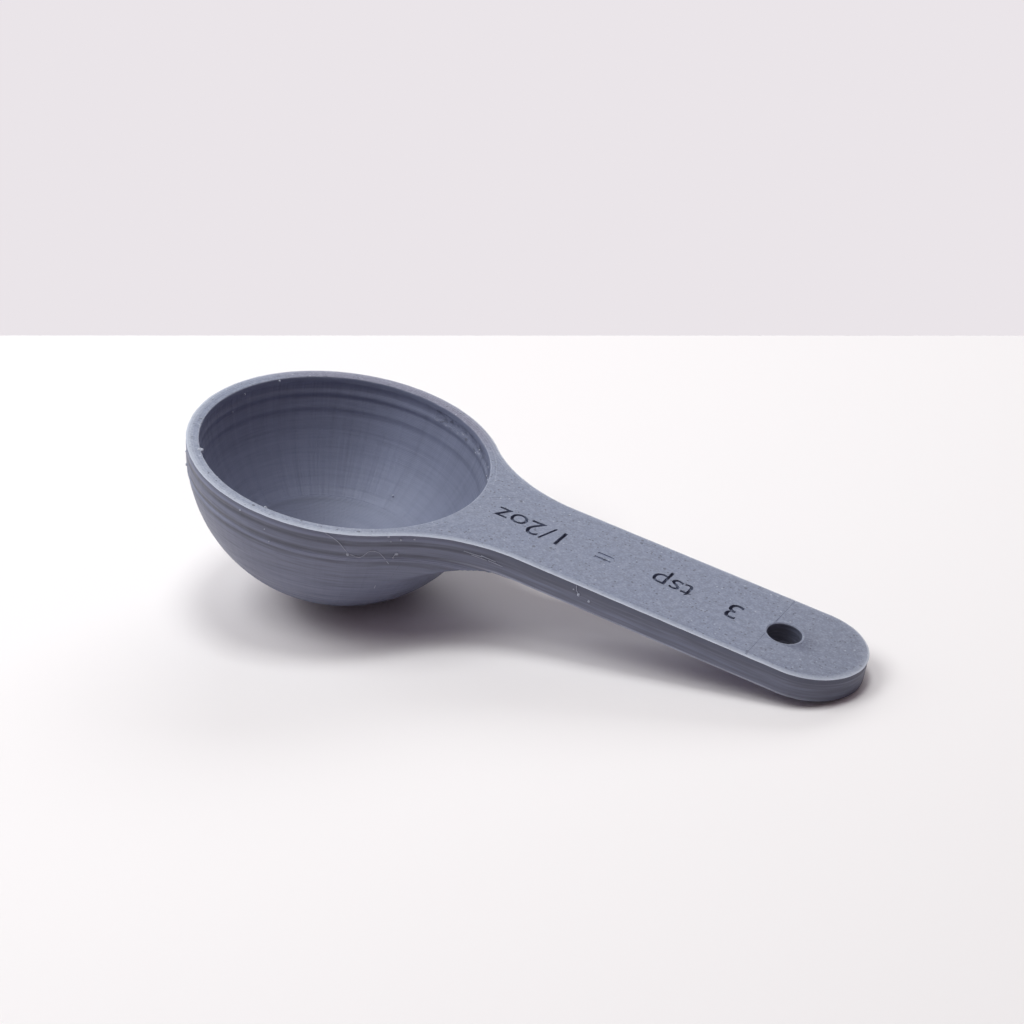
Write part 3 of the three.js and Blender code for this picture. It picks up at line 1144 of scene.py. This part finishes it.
CAMERA_PLACE = Vector((0.16116, -0.27953, 0.16737))
CAMERA_AIM = Vector((-0.00150, 0, 0.01584))
CAMERA_ROLL = math.radians(-3.647)
CAMERA_LENS = 97.32
SENSOR_WIDTH = 36


def turn_towards(place, aim):
    """The rotation of a lamp or camera at a place that looks at an aim."""
    return (aim - place).to_track_quat("-Z", "Y")


def flat_stage(name, size, place, turn, colour):
    """A plain matte sheet under the spoon, which isn't part of it."""
    deselect()
    bpy.ops.mesh.primitive_plane_add(size=size, location=place, rotation=(0, 0, turn))
    sheet = bpy.context.object
    sheet.name = name
    matte = Finish(name)
    matte.feed(matte.shader, {"Base Color": colour, "Roughness": 0.8, "Specular IOR Level": 0.1})
    sheet.data.materials.append(matte.material)
    return matte


def seen_or_mirrored(tree):
    """1 on light that goes straight to the camera or is mirrored."""
    path = tree.nodes.new("ShaderNodeLightPath")
    either = tree.nodes.new("ShaderNodeMath")
    either.operation = "MAXIMUM"
    tree.links.new(path.outputs["Is Camera Ray"], either.inputs[0])
    tree.links.new(path.outputs["Is Glossy Ray"], either.inputs[1])
    return either.outputs[0]


def table():
    """White paper whose back edge lies close behind the spoon, on a table of the backdrop's tone."""
    back = Vector(PAPER_BACK)
    inward = Vector((math.sin(PAPER_TURN), -math.cos(PAPER_TURN), 0))
    flat_stage("paper", PAPER_SIZE, back + inward * (PAPER_SIZE / 2), PAPER_TURN, PAPER_COLOUR)
    matte = flat_stage("table", TABLE_SIZE, (0, 0, -TABLE_DROP), 0, BACKDROP_COLOUR)
    plain = matte.node("ShaderNodeEmission", {}, {"Color": BACKDROP_COLOUR})
    shown = matte.node(
        "ShaderNodeMixShader", {},
        {0: seen_or_mirrored(matte.tree), 1: matte.shader.outputs[0], 2: plain.outputs[0]},
    )
    matte.feed(matte.tree.nodes["Material Output"], {"Surface": shown.outputs[0]})


def soft_lamp(name, bearing, rise, size, power):
    """A soft studio lamp that faces the spoon."""
    turn = math.radians(bearing)
    tilt = math.radians(rise)
    way = Vector((math.cos(tilt) * math.cos(turn), math.cos(tilt) * math.sin(turn), math.sin(tilt)))
    bpy.ops.object.light_add(type="AREA", location=way * LAMP_DISTANCE)
    lamp = bpy.context.object
    lamp.name = name
    lamp.rotation_euler = turn_towards(lamp.location, Vector()).to_euler()
    lamp.data.shape = "RECTANGLE"
    lamp.data.size, lamp.data.size_y = size
    lamp.data.energy = power
    lamp.data.color = LAMP_COLOUR


def surroundings():
    """A dim even room, with a plain backdrop where the camera looks past the table."""
    world = bpy.context.scene.world or bpy.data.worlds.new("room")
    bpy.context.scene.world = world
    world.use_nodes = True
    tree = world.node_tree
    tree.nodes.clear()
    output = tree.nodes.new("ShaderNodeOutputWorld")
    light = tree.nodes.new("ShaderNodeBackground")
    light.inputs["Color"].default_value = ROOM_COLOUR
    light.inputs["Strength"].default_value = ROOM_LIGHT
    backdrop = tree.nodes.new("ShaderNodeBackground")
    backdrop.inputs["Color"].default_value = BACKDROP_COLOUR
    either = tree.nodes.new("ShaderNodeMixShader")
    tree.links.new(seen_or_mirrored(tree), either.inputs[0])
    tree.links.new(light.outputs[0], either.inputs[1])
    tree.links.new(backdrop.outputs[0], either.inputs[2])
    tree.links.new(either.outputs[0], output.inputs["Surface"])


def camera():
    """The camera, where the photograph was taken from."""
    bpy.ops.object.camera_add(location=CAMERA_PLACE)
    view = bpy.context.object
    roll = Matrix.Rotation(CAMERA_ROLL, 3, "Z").to_quaternion()
    view.rotation_euler = (turn_towards(CAMERA_PLACE, CAMERA_AIM) @ roll).to_euler()
    view.data.lens = CAMERA_LENS
    view.data.sensor_width = SENSOR_WIDTH
    bpy.context.scene.camera = view


table()
surroundings()
for lamp_values in LAMPS:
    soft_lamp(*lamp_values)
camera()
bpy.context.scene.view_settings.view_transform = "Standard"
